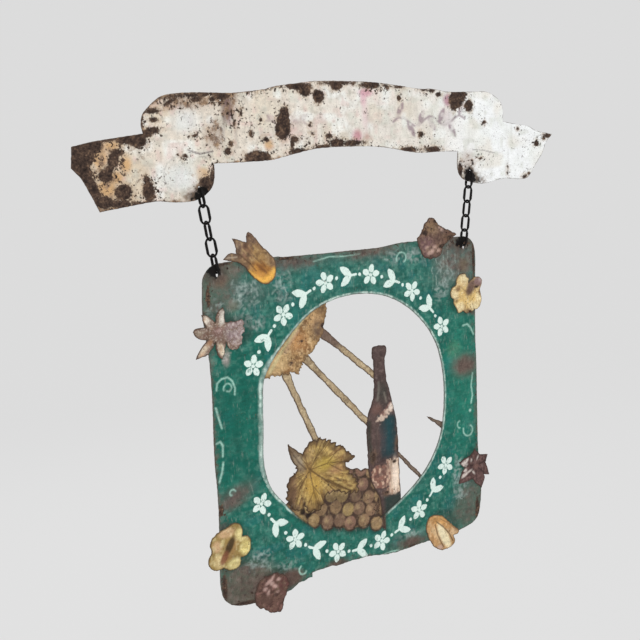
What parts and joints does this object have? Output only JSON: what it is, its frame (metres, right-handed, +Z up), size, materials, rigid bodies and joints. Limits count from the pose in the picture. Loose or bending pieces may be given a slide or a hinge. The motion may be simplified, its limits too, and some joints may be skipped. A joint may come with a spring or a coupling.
{
  "type": "hanging trade sign",
  "caption": "Painted sheet-iron hanging sign: ribbon banner, two chains, and a panel with an oval window holding a sun, rays, bottle, grapes and leaf, with flowers at the corners.",
  "frame": {"origin": "midway between the banner's two fixing holes, on the banner's back face", "axes": "+X along the banner to the right as seen from the front, +Y to the back, +Z up; the front faces -Y"},
  "size_m": [0.915, 0.018, 0.8481],
  "materials": {
    "banner_white": "chalky white paint, rusted through",
    "panel_green": "sea green paint, rusted at the edges",
    "orange_paint": "worn orange paint",
    "white_paint": "worn white paint over rust",
    "brown_rust": "rust with traces of paint",
    "yellow_paint": "worn yellow paint",
    "red_paint": "dark red paint, rusted",
    "ochre_paint": "ochre paint with dark edges",
    "bottle_brown": "dark brown and green paint",
    "grape_brown": "brown and olive paint",
    "leaf_olive": "olive yellow paint",
    "rivet_iron": "dark rusted iron",
    "chain_iron": "blackened iron"
  },
  "bodies": {
    "banner": {"banner": "banner_white"},
    "left_link_1": {"chain_left_link_1": "chain_iron"},
    "left_link_2": {"chain_left_link_2": "chain_iron"},
    "left_link_3": {"chain_left_link_3": "chain_iron"},
    "left_link_4": {"chain_left_link_4": "chain_iron"},
    "left_link_5": {"chain_left_link_5": "chain_iron"},
    "right_link_1": {"chain_right_link_1": "chain_iron"},
    "right_link_2": {"chain_right_link_2": "chain_iron"},
    "right_link_3": {"chain_right_link_3": "chain_iron"},
    "right_link_4": {"chain_right_link_4": "chain_iron"},
    "right_link_5": {"chain_right_link_5": "chain_iron"},
    "panel": {"panel": "panel_green", "tulip": "orange_paint", "crocus": "orange_paint", "daisy": "white_paint", "bud": "brown_rust", "worn_flower": "brown_rust", "yellow_flower": "yellow_paint", "pansy": "yellow_paint", "star_flower": "red_paint", "sun": "ochre_paint", "upper_ray": "ochre_paint", "middle_ray": "ochre_paint", "lower_ray": "ochre_paint", "ray_stub": "ochre_paint", "bottle": "bottle_brown", "grapes": "grape_brown", "vine_leaf": "leaf_olive", "packers": "rivet_iron", "flower_rivets": "rivet_iron", "figure_rivets": "rivet_iron", "leaf_rivets": "rivet_iron", "ray_rivets": "rivet_iron"}
  },
  "joints": [
    {"name": "panel_swing", "type": "hinge", "parent": "banner", "child": "panel", "pos_m": [0, -0.001, -0.17306], "axis": [1, 0, 0], "range_deg": [-36, 36]},
    {"name": "left_link_1_swing", "type": "hinge", "parent": "banner", "child": "left_link_1", "pos_m": [-0.26126, -0.001, -0.12895], "axis": [1, 0, 0], "range_deg": [-10.8, 10.8]},
    {"name": "left_link_2_swing", "type": "hinge", "parent": "left_link_1", "child": "left_link_2", "pos_m": [-0.25785, -0.001, -0.15179], "axis": [1, 0, 0], "range_deg": [-9, 9]},
    {"name": "left_link_3_swing", "type": "hinge", "parent": "left_link_2", "child": "left_link_3", "pos_m": [-0.2536, -0.001, -0.18018], "axis": [1, 0, 0], "range_deg": [-5.4, 5.4]},
    {"name": "left_link_4_swing", "type": "hinge", "parent": "left_link_3", "child": "left_link_4", "pos_m": [-0.2504, -0.001, -0.20164], "axis": [1, 0, 0], "range_deg": [-4.32, 4.32]},
    {"name": "left_link_5_swing", "type": "hinge", "parent": "left_link_4", "child": "left_link_5", "pos_m": [-0.24615, -0.001, -0.23002], "axis": [1, 0, 0], "range_deg": [-3.6, 3.6]},
    {"name": "right_link_1_swing", "type": "hinge", "parent": "banner", "child": "right_link_1", "pos_m": [0.26126, -0.001, -0.12895], "axis": [1, 0, 0], "range_deg": [-10.8, 10.8]},
    {"name": "right_link_2_swing", "type": "hinge", "parent": "right_link_1", "child": "right_link_2", "pos_m": [0.25785, -0.001, -0.15179], "axis": [1, 0, 0], "range_deg": [-9, 9]},
    {"name": "right_link_3_swing", "type": "hinge", "parent": "right_link_2", "child": "right_link_3", "pos_m": [0.2536, -0.001, -0.18018], "axis": [1, 0, 0], "range_deg": [-5.4, 5.4]},
    {"name": "right_link_4_swing", "type": "hinge", "parent": "right_link_3", "child": "right_link_4", "pos_m": [0.2504, -0.001, -0.20164], "axis": [1, 0, 0], "range_deg": [-4.32, 4.32]},
    {"name": "right_link_5_swing", "type": "hinge", "parent": "right_link_4", "child": "right_link_5", "pos_m": [0.24615, -0.001, -0.23002], "axis": [1, 0, 0], "range_deg": [-3.6, 3.6]}
  ],
  "couplings": [
    {"joint": "left_link_1_swing", "follows": "panel_swing", "ratio": 0.3},
    {"joint": "left_link_2_swing", "follows": "panel_swing", "ratio": 0.25},
    {"joint": "left_link_3_swing", "follows": "panel_swing", "ratio": 0.15},
    {"joint": "left_link_4_swing", "follows": "panel_swing", "ratio": 0.12},
    {"joint": "left_link_5_swing", "follows": "panel_swing", "ratio": 0.1},
    {"joint": "right_link_1_swing", "follows": "panel_swing", "ratio": 0.3},
    {"joint": "right_link_2_swing", "follows": "panel_swing", "ratio": 0.25},
    {"joint": "right_link_3_swing", "follows": "panel_swing", "ratio": 0.15},
    {"joint": "right_link_4_swing", "follows": "panel_swing", "ratio": 0.12},
    {"joint": "right_link_5_swing", "follows": "panel_swing", "ratio": 0.1}
  ]
}
